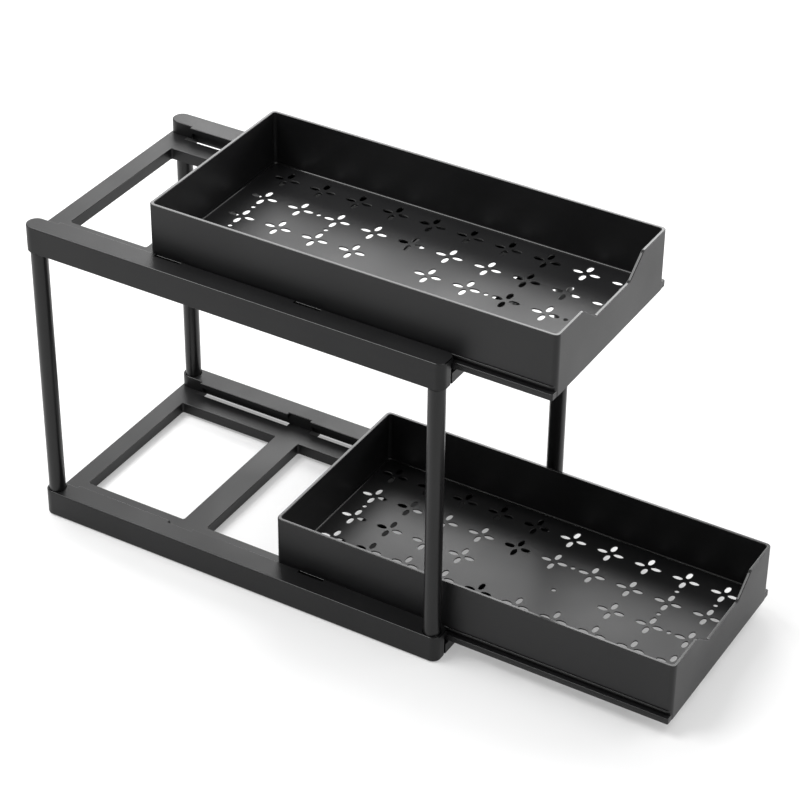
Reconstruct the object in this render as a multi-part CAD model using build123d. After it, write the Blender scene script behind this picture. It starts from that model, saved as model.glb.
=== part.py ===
from build123d import *
import os

# Two-tier pull-out organizer for the cupboard under a sink. Lengths are millimetres.
# Two moulded frames stand on each other through four tube posts. Each frame carries one
# open tray, whose runners slide in the channels of the side rails.
# X points out of the cupboard, Y goes across and Z up. X is zero at the middle of the whole
# length with both trays pulled out as they rest here, and Z is zero under the feet.

# Frame mouldings
frame_length = 400.0
frame_width = 229.0
rail_height = 24.6
rail_width = 17.4
rail_front_corner_radius = 7.0
rail_inner_corner_radius = 6.0
rail_edge_radius = 0.9
rail_foot_edge_radius = 0.6
rail_wall = 2.2
rail_skin = 2.4
lip_overhang = 3.1
lip_thickness = 4.9
channel_depth = 2.9
channel_wall = 2.0
channel_sill = 2.0

# Flat bars and side strips of a frame, on which the tray runners slide
plate_top = 12.4
plate_thickness = 10.4
plate_skin = 2.2
plate_skirt = 2.0
plate_edge_radius = 0.5
strip_width = 19.0
slot_margin = 1.5
slot_lead = 5.2
rear_bar_inset = 1.2
rear_bar_width = 17.5
mid_bar_width = 24.3
upper_bar_shift = 25.5
front_bar_width = 24.0
front_bar_height = 10.0
window_corner_radius = 2.0
rear_boss_length = 24.6
mid_boss_length = 24.0
front_boss_length = 20.0

# Posts, end plugs and feet
tier_gap = 245.3
post_radius = 7.3
post_wall = 1.0
post_end_chamfer = 0.25
post_inset = 9.5
plug_collar_height = 1.5
plug_collar_chamfer = 0.3
plug_shank_length = 16.0
plug_stub_radius = 4.0
plug_stub_length = 12.0
plug_clearance = 0.15
socket_end_clearance = 1.0
socket_recess_radius = 8.0
socket_recess_depth = 2.0
foot_radius = 6.4
foot_thickness = 2.4
foot_stand = 1.0
foot_clearance = 0.2
foot_edge_radius = 0.4

# Trays
tray_length = 372.0
tray_height = 56.0
tray_wall = 2.8
tray_corner_radius = 4.5
tray_rim_radius = 0.6
tray_floor_thickness = 1.2
tray_floor_raise = 5.5
tray_floor_fillet = 1.5
tray_inner_corner_radius = 3.0
groove_depth = 1.2
bead_height = 1.5
bead_drop = 1.6
bead_end_inset = 0.6
bead_edge_radius = 0.4
runner_width = 7.2
runner_overhang = 4.2
runner_end_inset = 0.4
runner_corner_radius = 1.2
runner_edge_radius = 0.5

# Finger dip in the front wall of a tray, symmetric about the middle
dip_depth = 17.0
dip_top_share = 0.55
dip_bottom_share = 0.305
dip_corner_radius = 7.0

# Petal holes in a tray floor: four ellipses to a flower, and a few round dots between flowers.
# The shares are of the pitch from flower to flower: of the narrower one for sizes, and of the
# pitch along X or Y for how far a petal lies from its flower's middle.
flower_columns = 10
flower_rows = 5
flower_end_margin = 24.9
flower_side_margin = 22.5
upper_flower_shift = 2.7
lower_flower_shift = -4.0
petal_length_share = 0.272
petal_width_share = 0.143
petal_offset_x_share = 0.215
petal_offset_y_share = 0.202
dot_radius_share = 0.060

# Stops: a nib on the front bar catches a rib under the tray
stop_nib_length = 6.0
stop_nib_width = 30.0
stop_nib_catch = 2.7
stop_rib_thickness = 2.0
stop_rib_width = 40.0
stop_rib_rise = 0.3

# Running clearances and travel
runner_clearance = 0.3
runner_side_clearance = 0.6
runner_top_clearance = 1.6
bead_clearance = 0.6
stop_clearance = 0.3
full_travel = 209.0
upper_pull = 85.5
lower_pull = 202.0
overrun = 5.0

# Bare cells and dots, counted as (column, row) from the rear right corner of the tray.
# A dot lies half a pitch on from its cell, along a row or across to the next row.
upper_bare_cells = [(5, 3)]
upper_row_dots = [(2, 2), (7, 3), (9, 3)]
upper_column_dots = [(1, 2), (3, 2), (1, 3)]
lower_bare_cells = [(5, 3), (6, 3), (7, 3)]
lower_row_dots = [(6, 2), (6, 3), (9, 3)]
lower_column_dots = [(1, 2), (9, 2), (9, 1), (10, 1)]

# Places along X
frame_rear = -(frame_length + lower_pull) / 2
frame_front = frame_rear + frame_length
plate_rear = frame_rear + rear_bar_inset
front_bar_rear = frame_front - front_bar_width
mid_bar_centres = [frame_rear + frame_length / 3, frame_front - frame_length / 3]
upper_bar_centres = [mid_bar_centres[0] - upper_bar_shift, mid_bar_centres[1]]

# Places along Y on the right-hand side, which the left mirrors
frame_side = frame_width / 2
rail_face = frame_side - rail_width
lip_edge = rail_face - lip_overhang
channel_back = rail_face + channel_depth
slot_edge = lip_edge - slot_margin
window_side = slot_edge - strip_width

# Places along Z, in a frame's own height from its underside
lip_underside = rail_height - lip_thickness
plate_underside = plate_top - plate_thickness
tray_bottom = plate_top + runner_clearance
runner_top = lip_underside - runner_top_clearance
floor_underside = tray_bottom + tray_floor_raise
floor_top = floor_underside + tray_floor_thickness
tray_top = tray_bottom + tray_height
bead_top = rail_height - bead_drop
bead_underside = bead_top - bead_height
nib_top = tray_bottom + stop_nib_catch

# Levels of the two frames, and the post axes
lower_level = foot_stand
upper_level = lower_level + rail_height + tier_gap
post_y = frame_side - rail_width / 2
post_places = {
    "rear_left": (frame_rear + post_inset, -post_y),
    "rear_right": (frame_rear + post_inset, post_y),
    "front_left": (frame_front - post_inset, -post_y),
    "front_right": (frame_front - post_inset, post_y),
}

# Tray widths follow from the rails
runner_side = rail_face - runner_side_clearance
tray_side = runner_side - runner_overhang
bead_side = lip_edge - bead_clearance
tray_inner_length = tray_length - 2 * tray_wall
tray_inner_side = tray_side - tray_wall
flower_pitch_x = (tray_length - 2 * flower_end_margin) / (flower_columns - 1)
flower_pitch_y = 2 * (tray_side - flower_side_margin) / (flower_rows - 1)
narrow_pitch = min(flower_pitch_x, flower_pitch_y)
petal_length = petal_length_share * narrow_pitch
petal_width = petal_width_share * narrow_pitch
dot_radius = dot_radius_share * narrow_pitch
nib_front = frame_front - tray_wall - stop_clearance
nib_rear = nib_front - stop_nib_length


def block(x0, x1, y0, y1, z0, z1):
    # A plain box between two corners
    middle = Pos((x0 + x1) / 2, (y0 + y1) / 2, (z0 + z1) / 2)
    return middle * Box(x1 - x0, y1 - y0, z1 - z0)


def both_sides(shape):
    # The right-hand shape with its mirror image on the left
    return [shape, mirror(shape, about=Plane.XZ)]


def channel_spans():
    # The three stretches along a rail that have a channel
    bosses = [middle + side * mid_boss_length / 2 for middle in mid_bar_centres for side in (-1, 1)]
    edges = [frame_rear + rear_boss_length] + bosses + [frame_front - front_boss_length]
    return [(edges[i], edges[i + 1]) for i in range(0, len(edges), 2)]


def slot_spans():
    # The slots through the strips under these. The first one starts behind its channel.
    spans = channel_spans()
    first = (spans[0][0] - slot_lead, spans[0][1])
    return [first] + spans[1:]


def window_spans(centres):
    # The three windows between the cross bars
    sides = [middle + side * mid_bar_width / 2 for middle in centres for side in (-1, 1)]
    edges = [plate_rear + rear_bar_width] + sides + [front_bar_rear]
    return [(edges[i], edges[i + 1]) for i in range(0, len(edges), 2)]


def rail_plan():
    # Plan of a rail without its lips: fully round at the rear, one round corner at the front
    end_radius = rail_width / 2
    straight = frame_length - end_radius
    bar = Pos(frame_front - straight / 2, post_y) * Rectangle(straight, rail_width)
    front = bar.vertices().sort_by(Axis.X)[-2:].sort_by(Axis.Y)
    bar = fillet(front[-1], rail_front_corner_radius)
    inner = bar.vertices().sort_by(Axis.Y)[:2].sort_by(Axis.X)[-1]
    bar = fillet(inner, rail_inner_corner_radius)
    return bar + Pos(frame_rear + end_radius, post_y) * Circle(end_radius)


def lip_plan(x0, x1):
    # Plan of one lip, from the rail's middle line to its inner edge
    return Pos((x0 + x1) / 2, (post_y + lip_edge) / 2) * Rectangle(x1 - x0, post_y - lip_edge)


def rail_top():
    # The top slab of a rail, with the lips over the channels that hold the tray runners down.
    # The front lip runs on to the rail's end and has a round corner there.
    spans = channel_spans()
    front = lip_plan(spans[-1][0], frame_front)
    corner = front.vertices().sort_by(Axis.X)[-2:].sort_by(Axis.Y)[0]
    plan = rail_plan() + fillet(corner, rail_inner_corner_radius)
    for x0, x1 in spans[:-1]:
        plan += lip_plan(x0, x1)
    slab = Pos(0, 0, lip_underside) * extrude(plan, lip_thickness)
    return fillet(slab.edges().group_by(Axis.Z)[-1], rail_edge_radius)


def rail_body():
    # The rail under its top slab, before the channels are cut
    body = extrude(rail_plan(), lip_underside)
    return fillet(body.edges().group_by(Axis.Z)[0], rail_foot_edge_radius)


def plate(centres):
    # The flat bars and side strips, with three windows and softened upper edges
    slab = block(plate_rear, front_bar_rear, -post_y, post_y, plate_underside, plate_top)
    for x0, x1 in window_spans(centres):
        opening = RectangleRounded(x1 - x0, 2 * window_side, window_corner_radius)
        cut = extrude(opening, plate_top + overrun)
        slab -= Pos((x0 + x1) / 2, 0, -overrun / 2) * cut
    top = slab.faces().sort_by(Axis.Z)[-1]
    inner = [edge for wire in top.inner_wires() for edge in wire.edges()]
    rear = top.edges().filter_by(Axis.Y).sort_by(Axis.X)[0]
    return fillet(inner + [rear], plate_edge_radius)


def front_bar():
    # The front bar lies lower, so that a tray's front wall passes over it. It carries the stop nib.
    bar = block(front_bar_rear, frame_front, -rail_face - rail_wall, rail_face + rail_wall,
                0, front_bar_height)
    edges = bar.edges().filter_by(Axis.Y).sort_by(Axis.X)[-2:]
    bar = fillet(edges, plate_edge_radius)
    nib = block(nib_rear, nib_front, -stop_nib_width / 2, stop_nib_width / 2,
                front_bar_height - plate_skin, nib_top)
    return bar + nib


def rail_hollows():
    # Channels, slots and undersides of the right-hand rail
    cuts = []
    outer = frame_side - rail_wall
    for x0, x1 in channel_spans():
        cuts.append(block(x0, x1, slot_edge, channel_back, plate_top, lip_underside))
    for x0, x1 in slot_spans():
        cuts.append(block(x0, x1, slot_edge, channel_back, -overrun, plate_top))
        cuts.append(block(x0, x1, slot_edge, outer, -overrun, plate_top - channel_sill))
        cuts.append(block(x0, x1, channel_back + channel_wall, outer,
                          -overrun, rail_height - rail_skin))
    for middle in mid_bar_centres:
        half = mid_boss_length / 2 - rail_wall
        cuts.append(block(middle - half, middle + half, rail_face + rail_wall, outer,
                          -overrun, rail_height - rail_skin))
    return cuts


def plate_hollows(centres):
    # Undersides of the bars and of the two side strips
    ceiling = plate_top - plate_skin
    reach = window_side - plate_skirt
    bars = [(plate_rear, plate_rear + rear_bar_width)]
    bars += [(middle - mid_bar_width / 2, middle + mid_bar_width / 2) for middle in centres]
    cuts = [block(x0 + plate_skirt, x1 - plate_skirt, -reach, reach, -overrun, ceiling)
            for x0, x1 in bars]
    strip = block(plate_rear + plate_skirt, front_bar_rear - plate_skirt,
                  window_side + plate_skirt, slot_edge - plate_skirt, -overrun, ceiling)
    cuts += both_sides(strip)
    cuts.append(block(front_bar_rear + plate_skirt, frame_front - plate_skirt, -slot_edge, slot_edge,
                      -overrun, front_bar_height - plate_skin))
    return cuts


def frame_shell(centres):
    # One frame moulding, resting on Z zero, without its sockets
    side = rail_top() + rail_body()
    shell = plate(centres) + front_bar() + both_sides(side)
    cuts = plate_hollows(centres)
    for cut in rail_hollows():
        cuts += both_sides(cut)
    return shell - cuts


def stub_socket(mouth, down):
    # The blind hole for a plug's stub, going down or up from its mouth
    depth = plug_stub_length + socket_end_clearance
    middle = mouth - depth / 2 if down else mouth + depth / 2
    return Pos(0, 0, middle) * Cylinder(plug_stub_radius + plug_clearance, depth)


def lower_frame():
    # Sockets sunk in the rail tops take the posts, and recesses underneath take the feet
    shell = frame_shell(mid_bar_centres)
    sunk = rail_height - socket_recess_depth
    recess = Pos(0, 0, sunk + overrun / 2) * Cylinder(socket_recess_radius, overrun)
    foot_recess_depth = foot_thickness - foot_stand
    foot_recess = Cylinder(foot_radius + foot_clearance, 2 * foot_recess_depth)
    cuts = []
    for x, y in post_places.values():
        cuts += [Pos(x, y, 0) * cut for cut in (recess, stub_socket(sunk, True), foot_recess)]
    return Pos(0, 0, lower_level) * (shell - cuts)


def upper_frame():
    # The posts meet this frame's underside, and only their plug stubs go in.
    # Its rear middle bar lies nearer the rear, clear of the tray's petal holes.
    shell = frame_shell(upper_bar_centres)
    cuts = [Pos(x, y, 0) * stub_socket(0, False) for x, y in post_places.values()]
    return Pos(0, 0, upper_level) * (shell - cuts)


def post():
    # A tube post, standing on the collar of its bottom plug
    start = lower_level + rail_height - socket_recess_depth + plug_collar_height
    end = upper_level - plug_collar_height
    length = end - start
    tube = Cylinder(post_radius, length) - Cylinder(post_radius - post_wall, length + overrun)
    rims = tube.edges().filter_by(GeomType.CIRCLE).sort_by(SortBy.RADIUS)[-2:]
    return Pos(0, 0, (start + end) / 2) * chamfer(rims, post_end_chamfer)


def plug():
    # An end plug with its collar on Z zero: stub below, shank above
    collar = Pos(0, 0, plug_collar_height / 2) * Cylinder(post_radius, plug_collar_height)
    collar = chamfer(collar.edges().group_by(Axis.Z)[-1], plug_collar_chamfer)
    shank_radius = post_radius - post_wall - plug_clearance
    shank_top = plug_collar_height + plug_shank_length
    shank = Pos(0, 0, shank_top / 2) * Cylinder(shank_radius, shank_top)
    shank = chamfer(shank.edges().group_by(Axis.Z)[-1], plug_collar_chamfer)
    stub = Pos(0, 0, -plug_stub_length / 2) * Cylinder(plug_stub_radius, plug_stub_length)
    stub = chamfer(stub.edges().group_by(Axis.Z)[0], plug_collar_chamfer)
    return collar + shank + stub


def foot():
    # A round pad, seated in the recess under a rail end
    pad = Pos(0, 0, foot_thickness / 2) * Cylinder(foot_radius, foot_thickness)
    return fillet(pad.edges().group_by(Axis.Z)[0], foot_edge_radius)


def rounded_slab(length, side, radius, z0, z1):
    # A slab with round corners about the tray's own middle
    return Pos(0, 0, z0) * extrude(RectangleRounded(length, 2 * side, radius), z1 - z0)


def tray_shell():
    # The open box with its raised floor and the rounded join of floor and walls.
    # The flat of the floor is left open for the panel with the petal holes.
    shell = rounded_slab(tray_length, tray_side, tray_corner_radius, tray_bottom, tray_top)
    cavity = rounded_slab(tray_inner_length, tray_inner_side, tray_inner_corner_radius,
                          floor_top, tray_top + overrun)
    cavity = fillet(cavity.edges().group_by(Axis.Z)[0], tray_floor_fillet)
    under = rounded_slab(tray_inner_length, runner_side - runner_width, tray_inner_corner_radius,
                         tray_bottom - overrun, floor_underside)
    reach_x = tray_inner_length / 2 - tray_inner_corner_radius
    reach_y = tray_inner_side - tray_inner_corner_radius
    flat = block(-reach_x, reach_x, -reach_y, reach_y, tray_bottom, floor_top + overrun)
    return shell - cavity - under - flat


def dip_cutter():
    # The finger dip as a prism across the front wall
    top_half = tray_side * dip_top_share
    bottom_half = tray_side * dip_bottom_share
    reach = top_half + dip_corner_radius
    low = tray_top - dip_depth
    high = tray_top + overrun
    path = [(-reach, tray_top), (-top_half, tray_top), (-bottom_half, low),
            (bottom_half, low), (top_half, tray_top), (reach, tray_top)]
    edge = FilletPolyline(*path, radius=dip_corner_radius)
    lid = Polyline((-reach, tray_top), (-reach, high), (reach, high), (reach, tray_top))
    face = make_face([edge.edges(), lid.edges()])
    start = tray_length / 2 - tray_wall - tray_corner_radius
    profile = Plane.YZ.offset(start) * face
    return extrude(profile, tray_wall + tray_corner_radius + overrun)


def soften_rim(shell):
    # Round both edges of the rim, along the walls and through the dip
    low = tray_top - dip_depth - tray_rim_radius
    rim = [edge for edge in shell.edges()
           if edge.bounding_box().min.Z > low and edge.length > tray_wall + tray_rim_radius]
    return fillet(rim, tray_rim_radius)


def side_grooves():
    # The groove along each side that the rail's lip reaches over
    groove = block(-tray_length, tray_length, tray_side - groove_depth, runner_side + overrun,
                   runner_top, bead_underside)
    return both_sides(groove)


def bead():
    # The thin bead beside the lip, from corner to corner
    length = tray_length - 2 * bead_end_inset
    ring = rounded_slab(length, bead_side, tray_corner_radius, bead_underside, bead_top)
    ring = fillet(ring.edges().group_by(Axis.Z)[-1], bead_edge_radius)
    inner = tray_side - tray_wall
    return ring - block(-tray_length, tray_length, -inner, inner, 0, tray_top)


def runner():
    # The runners that slide on the side strips and under the lips
    length = tray_length - 2 * runner_end_inset
    ring = rounded_slab(length, runner_side, runner_corner_radius, tray_bottom, runner_top)
    ring = fillet(ring.edges().group_by(Axis.Z)[-1], runner_edge_radius)
    inner = runner_side - runner_width
    return ring - block(-tray_length, tray_length, -inner, inner, 0, tray_top)


def stop_rib():
    # The rib under the floor that meets the nib at full travel
    front = nib_rear - stop_clearance - full_travel - (frame_front - tray_length / 2)
    return block(front - stop_rib_thickness, front, -stop_rib_width / 2, stop_rib_width / 2,
                 tray_bottom + stop_rib_rise, floor_underside)


def cell_place(column, row, shift):
    # Middle of a flower's cell, in the tray's own plan
    x = (column - 1 - (flower_columns - 1) / 2) * flower_pitch_x + shift
    y = ((flower_rows - 1) / 2 - (row - 1)) * flower_pitch_y
    return x, y


def petal_outlines(bare_cells, shift):
    # The four petals of every flower of one floor
    along = Ellipse(petal_length / 2, petal_width / 2)
    across = Ellipse(petal_width / 2, petal_length / 2)
    offset_x = petal_offset_x_share * flower_pitch_x
    offset_y = petal_offset_y_share * flower_pitch_y
    petals = []
    for column in range(1, flower_columns + 1):
        for row in range(1, flower_rows + 1):
            if (column, row) in bare_cells:
                continue
            x, y = cell_place(column, row, shift)
            for side in (-1, 1):
                petals.append(Pos(x + side * offset_x, y) * along)
                petals.append(Pos(x, y + side * offset_y) * across)
    return petals


def dot_outlines(row_dots, column_dots, shift):
    # The round dots between flowers
    dots = []
    for column, row in row_dots:
        x, y = cell_place(column, row, shift)
        dots.append(Pos(x + flower_pitch_x / 2, y) * Circle(dot_radius))
    for column, row in column_dots:
        x, y = cell_place(column, row, shift)
        dots.append(Pos(x, y - flower_pitch_y / 2) * Circle(dot_radius))
    return dots


def floor_panel(bare_cells, row_dots, column_dots, shift):
    # The flat of the floor, with every petal and dot as a through hole
    length = tray_inner_length - 2 * tray_inner_corner_radius
    width = 2 * (tray_inner_side - tray_inner_corner_radius)
    outline = Rectangle(length, width).face().outer_wire()
    holes = petal_outlines(bare_cells, shift) + dot_outlines(row_dots, column_dots, shift)
    panel = Face(outline, [hole.face().outer_wire() for hole in holes])
    return Pos(0, 0, floor_underside) * extrude(panel, tray_floor_thickness, dir=(0, 0, 1))


def tray(level, pull, panel):
    # One tray at its resting pull, over the frame at the given level
    shell = soften_rim(tray_shell() - dip_cutter())
    shell = shell - side_grooves() + bead() + runner()
    shell = shell + panel + stop_rib()
    return Pos(frame_front + pull - tray_length / 2, 0, level) * shell


def save(shape, name):
    # One STEP file for one piece
    export_step(shape, os.path.join("parts", name + ".step"))


def main():
    os.makedirs("parts", exist_ok=True)
    save(lower_frame(), "lower_frame")
    save(upper_frame(), "upper_frame")
    one_post = post()
    one_plug = plug()
    one_foot = foot()
    top_plug = Rotation(180, 0, 0) * one_plug
    bottom_seat = lower_level + rail_height - socket_recess_depth
    for place, (x, y) in post_places.items():
        save(Pos(x, y, 0) * one_post, "post_" + place)
        save(Pos(x, y, bottom_seat) * one_plug, "bottom_plug_" + place)
        save(Pos(x, y, upper_level) * top_plug, "top_plug_" + place)
        save(Pos(x, y, 0) * one_foot, "foot_" + place)
    upper_panel = floor_panel(upper_bare_cells, upper_row_dots, upper_column_dots,
                              upper_flower_shift)
    lower_panel = floor_panel(lower_bare_cells, lower_row_dots, lower_column_dots,
                              lower_flower_shift)
    save(tray(upper_level, upper_pull, upper_panel), "upper_tray")
    save(tray(lower_level, lower_pull, lower_panel), "lower_tray")


main()
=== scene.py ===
import math
import bpy
from mathutils import Matrix, Vector


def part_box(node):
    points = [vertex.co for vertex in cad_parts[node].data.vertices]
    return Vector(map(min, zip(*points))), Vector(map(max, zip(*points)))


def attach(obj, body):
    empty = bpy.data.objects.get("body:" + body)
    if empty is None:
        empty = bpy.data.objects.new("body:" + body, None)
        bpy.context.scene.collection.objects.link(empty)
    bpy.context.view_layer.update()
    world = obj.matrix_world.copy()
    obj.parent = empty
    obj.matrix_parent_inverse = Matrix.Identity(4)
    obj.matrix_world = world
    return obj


# Two-tier pull-out organizer in black moulded plastic on powder-coated tubes.
# Metres, X the way the trays pull out, Z up. mm below turns millimetres into metres.

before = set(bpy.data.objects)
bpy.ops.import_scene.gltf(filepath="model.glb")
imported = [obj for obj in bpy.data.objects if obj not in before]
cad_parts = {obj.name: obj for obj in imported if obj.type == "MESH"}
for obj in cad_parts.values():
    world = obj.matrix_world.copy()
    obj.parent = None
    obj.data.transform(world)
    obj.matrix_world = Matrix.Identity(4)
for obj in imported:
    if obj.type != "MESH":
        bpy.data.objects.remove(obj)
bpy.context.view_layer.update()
mm = 0.001
print("frame loaded:", len(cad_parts), "nodes")


def linear(hexColour):
    # sRGB hex such as "1a1a1b" to linear RGBA
    parts = [int(hexColour[i:i + 2], 16) / 255 for i in (0, 2, 4)]
    return [c / 12.92 if c <= 0.04045 else ((c + 0.055) / 1.055) ** 2.4 for c in parts] + [1.0]


def addNode(tree, kind, settings=None, links=None):
    # One node: settings by property or input name, links as input -> output socket
    node = tree.nodes.new(kind)
    for name, value in (settings or {}).items():
        if isinstance(name, str) and hasattr(node, name):
            setattr(node, name, value)
        else:
            node.inputs[name].default_value = value
    for name, socket in (links or {}).items():
        tree.links.new(socket, node.inputs[name])
    return node


def newMaterial(name):
    material = bpy.data.materials.new(name)
    material.use_nodes = True
    material.node_tree.nodes.clear()
    return material, material.node_tree


# Camera: a long lens from the front left, above the near corner
cameraLook = {
    "place": (0.9186, -1.5789, 1.4229),
    "azimuth": 30.334,     # degrees round from straight at the long side
    "elevation": 34.626,
    "roll": 0.669,
    "lens": 119.72,        # mm
    "sensor": 36.0,        # mm
    "clip": (0.05, 50.0),  # metres
}


def makeCamera(look):
    data = bpy.data.cameras.new("camera")
    data.lens = look["lens"]
    data.sensor_width = look["sensor"]
    data.clip_start, data.clip_end = look["clip"]
    camera = bpy.data.objects.new("camera", data)
    bpy.context.scene.collection.objects.link(camera)
    turn, tilt = math.radians(look["azimuth"]), math.radians(look["elevation"])
    ahead = Vector((-math.sin(turn) * math.cos(tilt), math.cos(turn) * math.cos(tilt), -math.sin(tilt)))
    level = ahead.to_track_quat("-Z", "Y").to_matrix().to_4x4()
    roll = Matrix.Rotation(math.radians(look["roll"]), 4, "Z")
    camera.matrix_world = Matrix.Translation(look["place"]) @ level @ roll
    bpy.context.scene.camera = camera


makeCamera(cameraLook)
print("camera set")


# Plastics. The mould is spark eroded, which leaves a fine even grain that spreads the gloss.
# Its edge radii are polished, so they shine as thin lines. An edge is a face that leans: the
# height of its normal is above both values of leanIn and below both values of leanOut.
framePlastic = {
    "colour": "0b0b0c",
    "dust": "242425",
    "speck": 2.2,          # mm, size of the dust specks
    "dusty": (0.55, 0.80), # noise levels between which dust grows to its full share
    "dustShare": 0.16,
    "roughness": 0.40,
    "grain": 0.55,         # mm, drawn coarser than the real 0.05 mm so that it shows
    "grainDepth": 0.012,   # mm
    "grainBump": 0.5,
    "grainRough": 0.08,    # roughness that the grain adds
    "flow": 60.0,          # mm, slow changes of sheen where the melt flowed
    "flowRough": 0.035,    # roughness that the flow adds or takes
    "ior": 1.37,
    "edgeRoughness": 0.14,
    "leanIn": (0.15, 0.35),
    "leanOut": (0.90, 0.98),
    "rimLow": 10.0,        # metres: above this height every upward face is polished too
}
trayPlastic = dict(framePlastic, colour="111112", dust="2a2a2b", roughness=0.37, grain=0.6,
                   flow=85.0, ior=1.41)


def mouldedPlastic(name, look):
    # Black polypropylene, injection moulded: satin, finely grained, paler where dust lies
    material, tree = newMaterial(name)
    place = addNode(tree, "ShaderNodeTexCoord").outputs["Object"]
    grain = addNode(tree, "ShaderNodeTexNoise",
                    {"Scale": 1 / (look["grain"] * mm), "Detail": 3.0, "Roughness": 0.6}, {"Vector": place})
    flow = addNode(tree, "ShaderNodeTexNoise",
                   {"Scale": 1 / (look["flow"] * mm), "Detail": 2.0, "Roughness": 0.45}, {"Vector": place})
    speck = addNode(tree, "ShaderNodeTexNoise",
                    {"Scale": 1 / (look["speck"] * mm), "Detail": 4.0, "Roughness": 0.7}, {"Vector": place})
    sheen = addNode(tree, "ShaderNodeMapRange",
                    {"From Min": 0.35, "From Max": 0.65, "To Min": look["roughness"] - look["flowRough"],
                     "To Max": look["roughness"] + look["flowRough"]}, {"Value": flow.outputs["Fac"]})
    rough = addNode(tree, "ShaderNodeMath", {"operation": "MULTIPLY_ADD", 1: look["grainRough"]},
                    {0: grain.outputs["Fac"], 2: sheen.outputs["Result"]})
    facing = addNode(tree, "ShaderNodeSeparateXYZ", {},
                     {"Vector": addNode(tree, "ShaderNodeNewGeometry").outputs["Normal"]}).outputs["Z"]
    height = addNode(tree, "ShaderNodeSeparateXYZ", {}, {"Vector": place}).outputs["Z"]
    above = addNode(tree, "ShaderNodeMath", {"operation": "GREATER_THAN", 1: look["rimLow"]}, {0: height})
    leanIn = addNode(tree, "ShaderNodeMapRange",
                     {"From Min": look["leanIn"][0], "From Max": look["leanIn"][1]}, {"Value": facing})
    leanOut = addNode(tree, "ShaderNodeMapRange",
                      {"From Min": look["leanOut"][0], "From Max": look["leanOut"][1],
                       "To Min": 1.0, "To Max": 0.0}, {"Value": facing})
    kept = addNode(tree, "ShaderNodeMath", {"operation": "MAXIMUM"},
                   {0: leanOut.outputs["Result"], 1: above.outputs["Value"]})
    edge = addNode(tree, "ShaderNodeMath", {"operation": "MULTIPLY"},
                   {0: leanIn.outputs["Result"], 1: kept.outputs["Value"]})
    polished = addNode(tree, "ShaderNodeMix", {"data_type": "FLOAT"},
                       {"Factor": edge.outputs["Value"], "A": rough.outputs["Value"]})
    polished.inputs["B"].default_value = look["edgeRoughness"]
    dust = addNode(tree, "ShaderNodeMapRange",
                   {"From Min": look["dusty"][0], "From Max": look["dusty"][1],
                    "To Min": 0.0, "To Max": look["dustShare"]},
                   {"Value": speck.outputs["Fac"]})
    tint = addNode(tree, "ShaderNodeMix", {"data_type": "RGBA"}, {"Factor": dust.outputs["Result"]})
    tint.inputs["A"].default_value = linear(look["colour"])
    tint.inputs["B"].default_value = linear(look["dust"])
    bump = addNode(tree, "ShaderNodeBump",
                   {"Strength": look["grainBump"], "Distance": look["grainDepth"] * mm},
                   {"Height": grain.outputs["Fac"]})
    shader = addNode(tree, "ShaderNodeBsdfPrincipled", {"IOR": look["ior"]},
                     {"Base Color": tint.outputs["Result"], "Roughness": polished.outputs["Result"],
                      "Normal": bump.outputs["Normal"]})
    addNode(tree, "ShaderNodeOutputMaterial", {}, {"Surface": shader.outputs["BSDF"]})
    return material


# Tubes: steel under a baked powder coat, whose melt leaves a shallow orange peel
tubeCoat = {
    "colour": "0b0b0b",
    "flecks": "141415",
    "fleck": 0.5,          # mm
    "roughness": 0.25,     # at the peel's low points
    "peelRough": 0.10,     # roughness that the peel adds
    "peel": 1.6,           # mm
    "peelDepth": 0.02,     # mm
    "peelBump": 0.6,
    "ior": 1.40,
}


def powderCoat(name, look):
    material, tree = newMaterial(name)
    place = addNode(tree, "ShaderNodeTexCoord").outputs["Object"]
    peel = addNode(tree, "ShaderNodeTexNoise",
                   {"Scale": 1 / (look["peel"] * mm), "Detail": 2.0, "Roughness": 0.4}, {"Vector": place})
    fleck = addNode(tree, "ShaderNodeTexNoise",
                    {"Scale": 1 / (look["fleck"] * mm), "Detail": 1.0}, {"Vector": place})
    tint = addNode(tree, "ShaderNodeMix", {"data_type": "RGBA"}, {"Factor": fleck.outputs["Fac"]})
    tint.inputs["A"].default_value = linear(look["colour"])
    tint.inputs["B"].default_value = linear(look["flecks"])
    rough = addNode(tree, "ShaderNodeMath",
                    {"operation": "MULTIPLY_ADD", 1: look["peelRough"], 2: look["roughness"]},
                    {0: peel.outputs["Fac"]})
    bump = addNode(tree, "ShaderNodeBump",
                   {"Strength": look["peelBump"], "Distance": look["peelDepth"] * mm},
                   {"Height": peel.outputs["Fac"]})
    shader = addNode(tree, "ShaderNodeBsdfPrincipled", {"IOR": look["ior"]},
                     {"Base Color": tint.outputs["Result"], "Roughness": rough.outputs["Value"],
                      "Normal": bump.outputs["Normal"]})
    addNode(tree, "ShaderNodeOutputMaterial", {}, {"Surface": shader.outputs["BSDF"]})
    return material


# Feet: soft black rubber, matte with a faint bloom
footRubber = {
    "colour": "141414",
    "bloom": "2a2a2a",
    "roughness": 0.72,
    "grain": 0.8,          # mm
    "grainDepth": 0.03,    # mm
    "grainBump": 0.5,
    "ior": 1.52,
}


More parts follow.
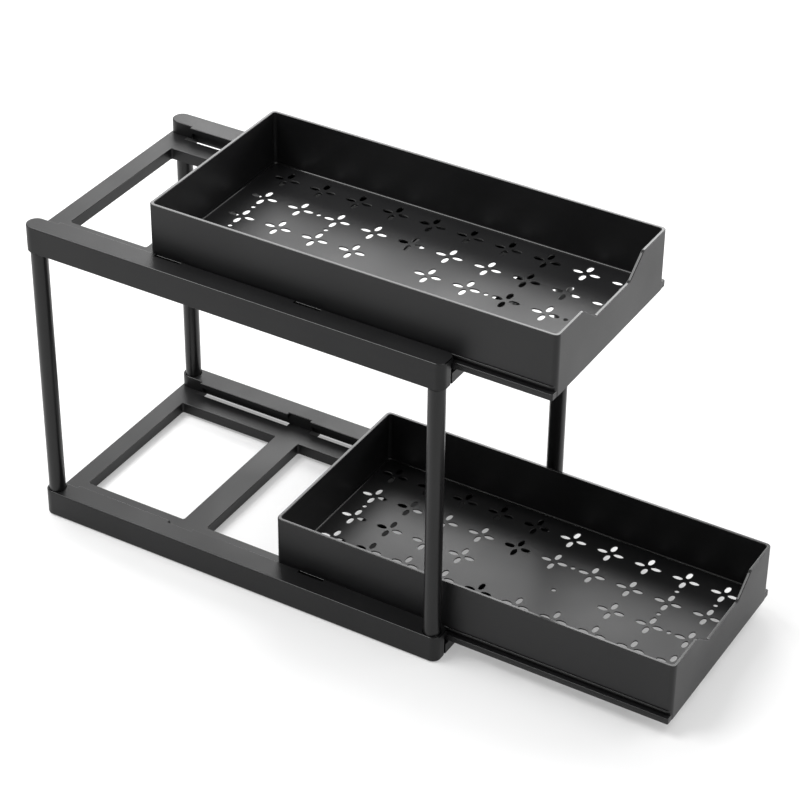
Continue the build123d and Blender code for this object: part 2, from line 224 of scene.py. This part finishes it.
def mattRubber(name, look):
    material, tree = newMaterial(name)
    place = addNode(tree, "ShaderNodeTexCoord").outputs["Object"]
    grain = addNode(tree, "ShaderNodeTexNoise",
                    {"Scale": 1 / (look["grain"] * mm), "Detail": 4.0}, {"Vector": place})
    tint = addNode(tree, "ShaderNodeMix", {"data_type": "RGBA"}, {"Factor": grain.outputs["Fac"]})
    tint.inputs["A"].default_value = linear(look["colour"])
    tint.inputs["B"].default_value = linear(look["bloom"])
    bump = addNode(tree, "ShaderNodeBump",
                   {"Strength": look["grainBump"], "Distance": look["grainDepth"] * mm},
                   {"Height": grain.outputs["Fac"]})
    shader = addNode(tree, "ShaderNodeBsdfPrincipled", {"Roughness": look["roughness"], "IOR": look["ior"]},
                     {"Base Color": tint.outputs["Result"], "Normal": bump.outputs["Normal"]})
    addNode(tree, "ShaderNodeOutputMaterial", {}, {"Surface": shader.outputs["BSDF"]})
    return material


frameMaterial = mouldedPlastic("framePolypropylene", framePlastic)
lowerTrayMaterial = mouldedPlastic("lowerTrayPolypropylene", dict(trayPlastic, rimLow=0.022))
upperTrayMaterial = mouldedPlastic("upperTrayPolypropylene", dict(trayPlastic, rimLow=0.292))
plugMaterial = mouldedPlastic("plugPolyethylene", dict(framePlastic, colour="151516", roughness=0.5))
tubeMaterial = powderCoat("tubePowderCoat", tubeCoat)
rubberMaterial = mattRubber("footRubber", footRubber)


def dress(node, material):
    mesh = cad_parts[node].data
    mesh.materials.clear()
    mesh.materials.append(material)


places = ["rear_left", "rear_right", "front_left", "front_right"]
for node in ("lower_frame", "upper_frame"):
    dress(node, frameMaterial)
dress("lower_tray", lowerTrayMaterial)
dress("upper_tray", upperTrayMaterial)
for where in places:
    dress("post_" + where, tubeMaterial)
    dress("top_plug_" + where, plugMaterial)
    dress("bottom_plug_" + where, plugMaterial)
    dress("foot_" + where, rubberMaterial)
print("materials set")


# Runner ribs: the outer face of each runner is moulded with fine slanting ribs, so that it rides
# on their tips. A rib is a small rod, sunk in the face for more than half its thickness.
runnerRibs = {
    "pitch": 1.5,      # mm from rib to rib along the runner
    "length": 4.9,     # mm along the slant
    "radius": 0.32,    # mm
    "proud": 0.22,     # mm that a rib stands out of the face
    "slant": 42.0,     # degrees from upright
    "endGap": 4.5,     # mm left plain at each end, where the runner turns its corner
    "middle": 2.55,    # mm above the runner's underside
    "sides": 8,
}


def ribTree():
    tree = bpy.data.node_groups.new("runnerRibs", "GeometryNodeTree")
    inputs = [("Start", "NodeSocketVector"), ("Pitch", "NodeSocketFloat"), ("Count", "NodeSocketInt"),
              ("Width Apart", "NodeSocketFloat"), ("Rib Radius", "NodeSocketFloat"),
              ("Rib Length", "NodeSocketFloat"), ("Rib Sides", "NodeSocketInt"), ("Slant", "NodeSocketFloat"),
              ("Material", "NodeSocketMaterial")]
    for name, kind in inputs:
        tree.interface.new_socket(name, in_out="INPUT", socket_type=kind)
    tree.interface.new_socket("Geometry", in_out="OUTPUT", socket_type="NodeSocketGeometry")
    given = addNode(tree, "NodeGroupInput").outputs
    step = addNode(tree, "ShaderNodeCombineXYZ", {}, {"X": given["Pitch"]})
    near = addNode(tree, "GeometryNodeMeshLine", {"mode": "OFFSET"},
                   {"Count": given["Count"], "Start Location": given["Start"],
                    "Offset": step.outputs["Vector"]})
    across = addNode(tree, "ShaderNodeCombineXYZ", {}, {"Y": given["Width Apart"]})
    far = addNode(tree, "GeometryNodeTransform", {},
                  {"Geometry": near.outputs["Mesh"], "Translation": across.outputs["Vector"]})
    lines = addNode(tree, "GeometryNodeJoinGeometry")
    tree.links.new(near.outputs["Mesh"], lines.inputs["Geometry"])
    tree.links.new(far.outputs["Geometry"], lines.inputs["Geometry"])
    rod = addNode(tree, "GeometryNodeMeshCylinder", {},
                  {"Vertices": given["Rib Sides"], "Radius": given["Rib Radius"],
                   "Depth": given["Rib Length"]})
    lean = addNode(tree, "ShaderNodeCombineXYZ", {}, {"Y": given["Slant"]})
    leant = addNode(tree, "GeometryNodeTransform", {},
                    {"Geometry": rod.outputs["Mesh"], "Rotation": lean.outputs["Vector"]})
    ribs = addNode(tree, "GeometryNodeInstanceOnPoints", {},
                   {"Points": lines.outputs["Geometry"], "Instance": leant.outputs["Geometry"]})
    real = addNode(tree, "GeometryNodeRealizeInstances", {}, {"Geometry": ribs.outputs["Instances"]})
    finish = addNode(tree, "GeometryNodeSetMaterial", {},
                     {"Geometry": real.outputs["Geometry"], "Material": given["Material"]})
    addNode(tree, "NodeGroupOutput", {}, {"Geometry": finish.outputs["Geometry"]})
    return tree


def growMesh(name, tree, values):
    # Runs a geometry tree on an empty mesh and returns a plain object with the result
    seed = bpy.data.objects.new(name + "Seed", bpy.data.meshes.new(name + "Seed"))
    bpy.context.scene.collection.objects.link(seed)
    modifier = seed.modifiers.new("grow", "NODES")
    modifier.node_group = tree
    for item in tree.interface.items_tree:
        if item.in_out == "INPUT":
            modifier[item.identifier] = values[item.name]
    graph = bpy.context.evaluated_depsgraph_get()
    mesh = bpy.data.meshes.new_from_object(seed.evaluated_get(graph))
    seed.modifiers.remove(modifier)
    bpy.data.objects.remove(seed)
    piece = bpy.data.objects.new(name, mesh)
    bpy.context.scene.collection.objects.link(piece)
    return piece


def addRunnerRibs(look):
    tree = ribTree()
    for tray, material in (("lower_tray", lowerTrayMaterial), ("upper_tray", upperTrayMaterial)):
        low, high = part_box(tray)
        pitch, gap = look["pitch"] * mm, look["endGap"] * mm
        inset = (look["radius"] - look["proud"]) * mm
        count = int((high[0] - low[0] - 2 * gap) / pitch) + 1
        start = (low[0] + gap, low[1] + inset, low[2] + look["middle"] * mm)
        ribs = growMesh(tray + "_runner_ribs", tree, {
            "Start": start, "Pitch": pitch, "Count": count, "Width Apart": high[1] - low[1] - 2 * inset,
            "Rib Radius": look["radius"] * mm, "Rib Length": look["length"] * mm, "Rib Sides": look["sides"],
            "Slant": math.radians(look["slant"]), "Material": material})
        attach(ribs, tray)


addRunnerRibs(runnerRibs)
print("runner ribs grown")


# Studio: a pale floor under white air. The softboxes behind show as sheen on the upward faces,
# and those high at the right and left on the walls, the tubes and the polished edges.
studio = {
    "floorColour": "d0d0d0",
    "floorHalf": 6.0,      # metres from the middle to each side
    "floorGlow": 0.33,     # near the object; it grows to 1 between these distances in metres
    "glowSpread": (0.75, 2.2),
    "softboxes": [
        # name, degrees round from X, degrees up, metres away, size x, size y, watts
        ("sweepLamp", 120.4, 34.6, 2.5, 1.0, 1.0, 17.0),
        ("backLamp", 95, 38, 2.4, 1.4, 1.4, 12.5),
        ("lowBackLamp", 115, 18, 2.3, 1.6, 0.8, 8.0),
        ("lowRightLamp", 50, 16, 2.6, 1.6, 0.8, 24.0),
        ("highRightLamp", 20, 62, 2.4, 1.2, 1.2, 13.0),
        ("highLeftLamp", 198, 60, 2.4, 2.0, 1.2, 58.0),
    ],
    "lampTarget": (0.0, 0.0, 0.12),
    "ambient": 0.3,
}


def makeFloor(colour, half, glow, spread):
    mesh = bpy.data.meshes.new("studioFloor")
    corners = [(-half, -half, 0), (half, -half, 0), (half, half, 0), (-half, half, 0)]
    mesh.from_pydata(corners, [], [(0, 1, 2, 3)])
    material, tree = newMaterial("studioFloorPaint")
    path = addNode(tree, "ShaderNodeLightPath")
    seen = addNode(tree, "ShaderNodeMath", {"operation": "MAXIMUM"},
                   {0: path.outputs["Is Camera Ray"], 1: path.outputs["Is Glossy Ray"]})
    seen = addNode(tree, "ShaderNodeMath", {"operation": "MAXIMUM"},
                   {0: seen.outputs["Value"], 1: path.outputs["Is Transmission Ray"]})
    away = addNode(tree, "ShaderNodeVectorMath", {"operation": "LENGTH"},
                   {"Vector": addNode(tree, "ShaderNodeTexCoord").outputs["Object"]})
    paler = addNode(tree, "ShaderNodeMapRange",
                    {"From Min": spread[0], "From Max": spread[1], "To Min": glow},
                    {"Value": away.outputs["Value"]})
    lift = addNode(tree, "ShaderNodeMath", {"operation": "MULTIPLY"},
                   {0: seen.outputs["Value"], 1: paler.outputs["Result"]})
    paint = addNode(tree, "ShaderNodeBsdfDiffuse", {"Color": linear(colour)})
    shine = addNode(tree, "ShaderNodeEmission", {}, {"Strength": lift.outputs["Value"]})
    both = addNode(tree, "ShaderNodeAddShader", {}, {0: paint.outputs["BSDF"], 1: shine.outputs["Emission"]})
    addNode(tree, "ShaderNodeOutputMaterial", {}, {"Surface": both.outputs["Shader"]})
    mesh.materials.append(material)
    floor = bpy.data.objects.new("studioFloor", mesh)
    bpy.context.scene.collection.objects.link(floor)


def makeWorld(ambient):
    world = bpy.data.worlds.new("studioAir")
    bpy.context.scene.world = world
    world.use_nodes = True
    tree = world.node_tree
    tree.nodes.clear()
    path = addNode(tree, "ShaderNodeLightPath")
    seen = addNode(tree, "ShaderNodeMath", {"operation": "MAXIMUM"},
                   {0: path.outputs["Is Camera Ray"], 1: path.outputs["Is Glossy Ray"]})
    seen = addNode(tree, "ShaderNodeMath", {"operation": "MAXIMUM"},
                   {0: seen.outputs["Value"], 1: path.outputs["Is Transmission Ray"]})
    strength = addNode(tree, "ShaderNodeMapRange", {"To Min": ambient, "To Max": 1.0},
                       {"Value": seen.outputs["Value"]})
    air = addNode(tree, "ShaderNodeBackground", {"Color": (1, 1, 1, 1)},
                  {"Strength": strength.outputs["Result"]})
    addNode(tree, "ShaderNodeOutputWorld", {}, {"Surface": air.outputs["Background"]})


def makeSoftbox(target, name, turn, rise, away, sizeX, sizeY, watts):
    data = bpy.data.lights.new(name, "AREA")
    data.shape = "RECTANGLE"
    data.size, data.size_y = sizeX, sizeY
    data.energy = watts
    lamp = bpy.data.objects.new(name, data)
    bpy.context.scene.collection.objects.link(lamp)
    turn, rise = math.radians(turn), math.radians(rise)
    out = Vector((math.cos(turn) * math.cos(rise), math.sin(turn) * math.cos(rise), math.sin(rise)))
    aim = (-out).to_track_quat("-Z", "Y").to_matrix().to_4x4()
    lamp.matrix_world = Matrix.Translation(Vector(target) + away * out) @ aim


makeFloor(studio["floorColour"], studio["floorHalf"], studio["floorGlow"], studio["glowSpread"])
makeWorld(studio["ambient"])
for softbox in studio["softboxes"]:
    makeSoftbox(studio["lampTarget"], *softbox)
bpy.context.scene.view_settings.view_transform = "Standard"
print("studio set")
